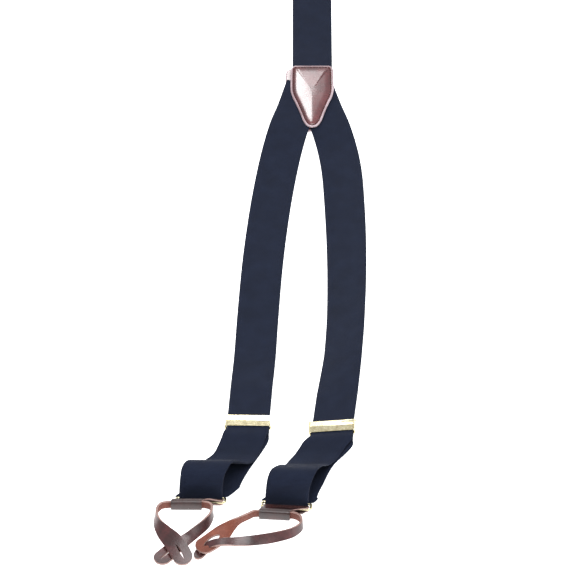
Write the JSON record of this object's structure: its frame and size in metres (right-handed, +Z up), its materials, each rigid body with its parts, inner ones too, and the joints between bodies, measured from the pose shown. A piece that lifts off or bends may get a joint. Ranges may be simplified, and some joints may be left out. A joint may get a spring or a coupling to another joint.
{
  "type": "suspenders",
  "caption": "Button-on dress suspenders with a Y back: woven elastic straps, leather back patch, brass lever adjusters and ring-hung leather button straps.",
  "frame": {"origin": "on the table under the middle of the leather back patch, at its underside", "axes": "+Y from the patch along the back strap, +X to the wearer's left strap side as laid front side up, +Z up off the table"},
  "size_m": [0.1977, 0.9249, 0.0327],
  "materials": {
    "webbing": "woven elastic, matt",
    "patch_leather": "glossy burgundy",
    "cuff_leather": "glossy dark brown",
    "strap_leather": "glossy maroon with raw edges",
    "brass": "polished",
    "thread": "waxed thread"
  },
  "bodies": {
    "root": {"patch_back": "patch_leather", "patch_front": "patch_leather", "patch_stitching": "thread", "back_strap": "webbing", "back_bar_tack": "thread", "front_strap_left": "webbing", "front_strap_right": "webbing", "return_leg_left": "webbing", "return_leg_right": "webbing"},
    "adjuster_left": {"adjuster_frame_left": "brass", "adjuster_pin_left": "brass"},
    "lever_left": {"adjuster_lever_left": "brass"},
    "adjuster_right": {"adjuster_frame_right": "brass", "adjuster_pin_right": "brass"},
    "lever_right": {"adjuster_lever_right": "brass"},
    "left_ring_body": {"left_ring": "brass"},
    "left_cuff_body": {"left_cuff": "cuff_leather"},
    "left_button_strap_body": {"left_button_strap": "strap_leather"},
    "right_ring_body": {"right_ring": "brass"},
    "right_cuff_body": {"right_cuff": "cuff_leather"},
    "right_button_strap_body": {"right_button_strap": "strap_leather"},
    "back_ring_body": {"back_ring": "brass"},
    "back_cuff_body": {"back_cuff": "cuff_leather"},
    "back_button_strap_body": {"back_button_strap": "strap_leather"}
  },
  "joints": [
    {"name": "adjuster_slide_left", "type": "slide", "parent": "root", "child": "adjuster_left", "axis": [0.0628, 0.998, 0], "range_m": [0, 0.018], "deforming": ["return_leg_left"]},
    {"name": "lever_hinge_left", "type": "hinge", "parent": "adjuster_left", "child": "lever_left", "pos_m": [-0.05811, -0.44834, 0.00934], "axis": [-0.9971, 0.0627, -0.0436], "range_deg": [0, 75]},
    {"name": "adjuster_slide_right", "type": "slide", "parent": "root", "child": "adjuster_right", "axis": [0.1097, 0.994, 0], "range_m": [0, 0.018], "deforming": ["return_leg_right"]},
    {"name": "lever_hinge_right", "type": "hinge", "parent": "adjuster_right", "child": "lever_right", "pos_m": [0.01952, -0.45838, 0.01277], "axis": [-0.9722, 0.1073, -0.2079], "range_deg": [0, 75]},
    {"name": "left_ring_hinge", "type": "hinge", "parent": "root", "child": "left_ring_body", "pos_m": [-0.101, -0.545, 0.0032], "axis": [-1, 0, 0], "range_deg": [0, 30]},
    {"name": "left_cuff_hinge", "type": "hinge", "parent": "left_ring_body", "child": "left_cuff_body", "pos_m": [-0.101, -0.55176, 0.00501], "axis": [-1, 0, 0], "range_deg": [0, 20]},
    {"name": "left_button_strap_slide", "type": "slide", "parent": "left_cuff_body", "child": "left_button_strap_body", "axis": [1, 0, 0], "range_m": [-0.003, 0.003]},
    {"name": "right_ring_hinge", "type": "hinge", "parent": "root", "child": "right_ring_body", "pos_m": [-0.0225, -0.551, 0.0032], "axis": [-0.9976, 0.0698, 0], "range_deg": [0, 38]},
    {"name": "right_cuff_hinge", "type": "hinge", "parent": "right_ring_body", "child": "right_cuff_body", "pos_m": [-0.02299, -0.55794, 0.00393], "axis": [-0.9976, 0.0698, 0], "range_deg": [0, 25]},
    {"name": "right_button_strap_slide", "type": "slide", "parent": "right_cuff_body", "child": "right_button_strap_body", "axis": [0.9976, -0.0698, 0], "range_m": [-0.003, 0.003]},
    {"name": "back_ring_hinge", "type": "hinge", "parent": "root", "child": "back_ring_body", "pos_m": [0.003, 0.212, 0.0032], "axis": [1, 0, 0], "range_deg": [0, 80]},
    {"name": "back_cuff_hinge", "type": "hinge", "parent": "back_ring_body", "child": "back_cuff_body", "pos_m": [0.003, 0.219, 0.0032], "axis": [1, 0, 0], "range_deg": [0, 60]},
    {"name": "back_button_strap_slide", "type": "slide", "parent": "back_cuff_body", "child": "back_button_strap_body", "axis": [-1, 0, 0], "range_m": [-0.003, 0.003]}
  ]
}
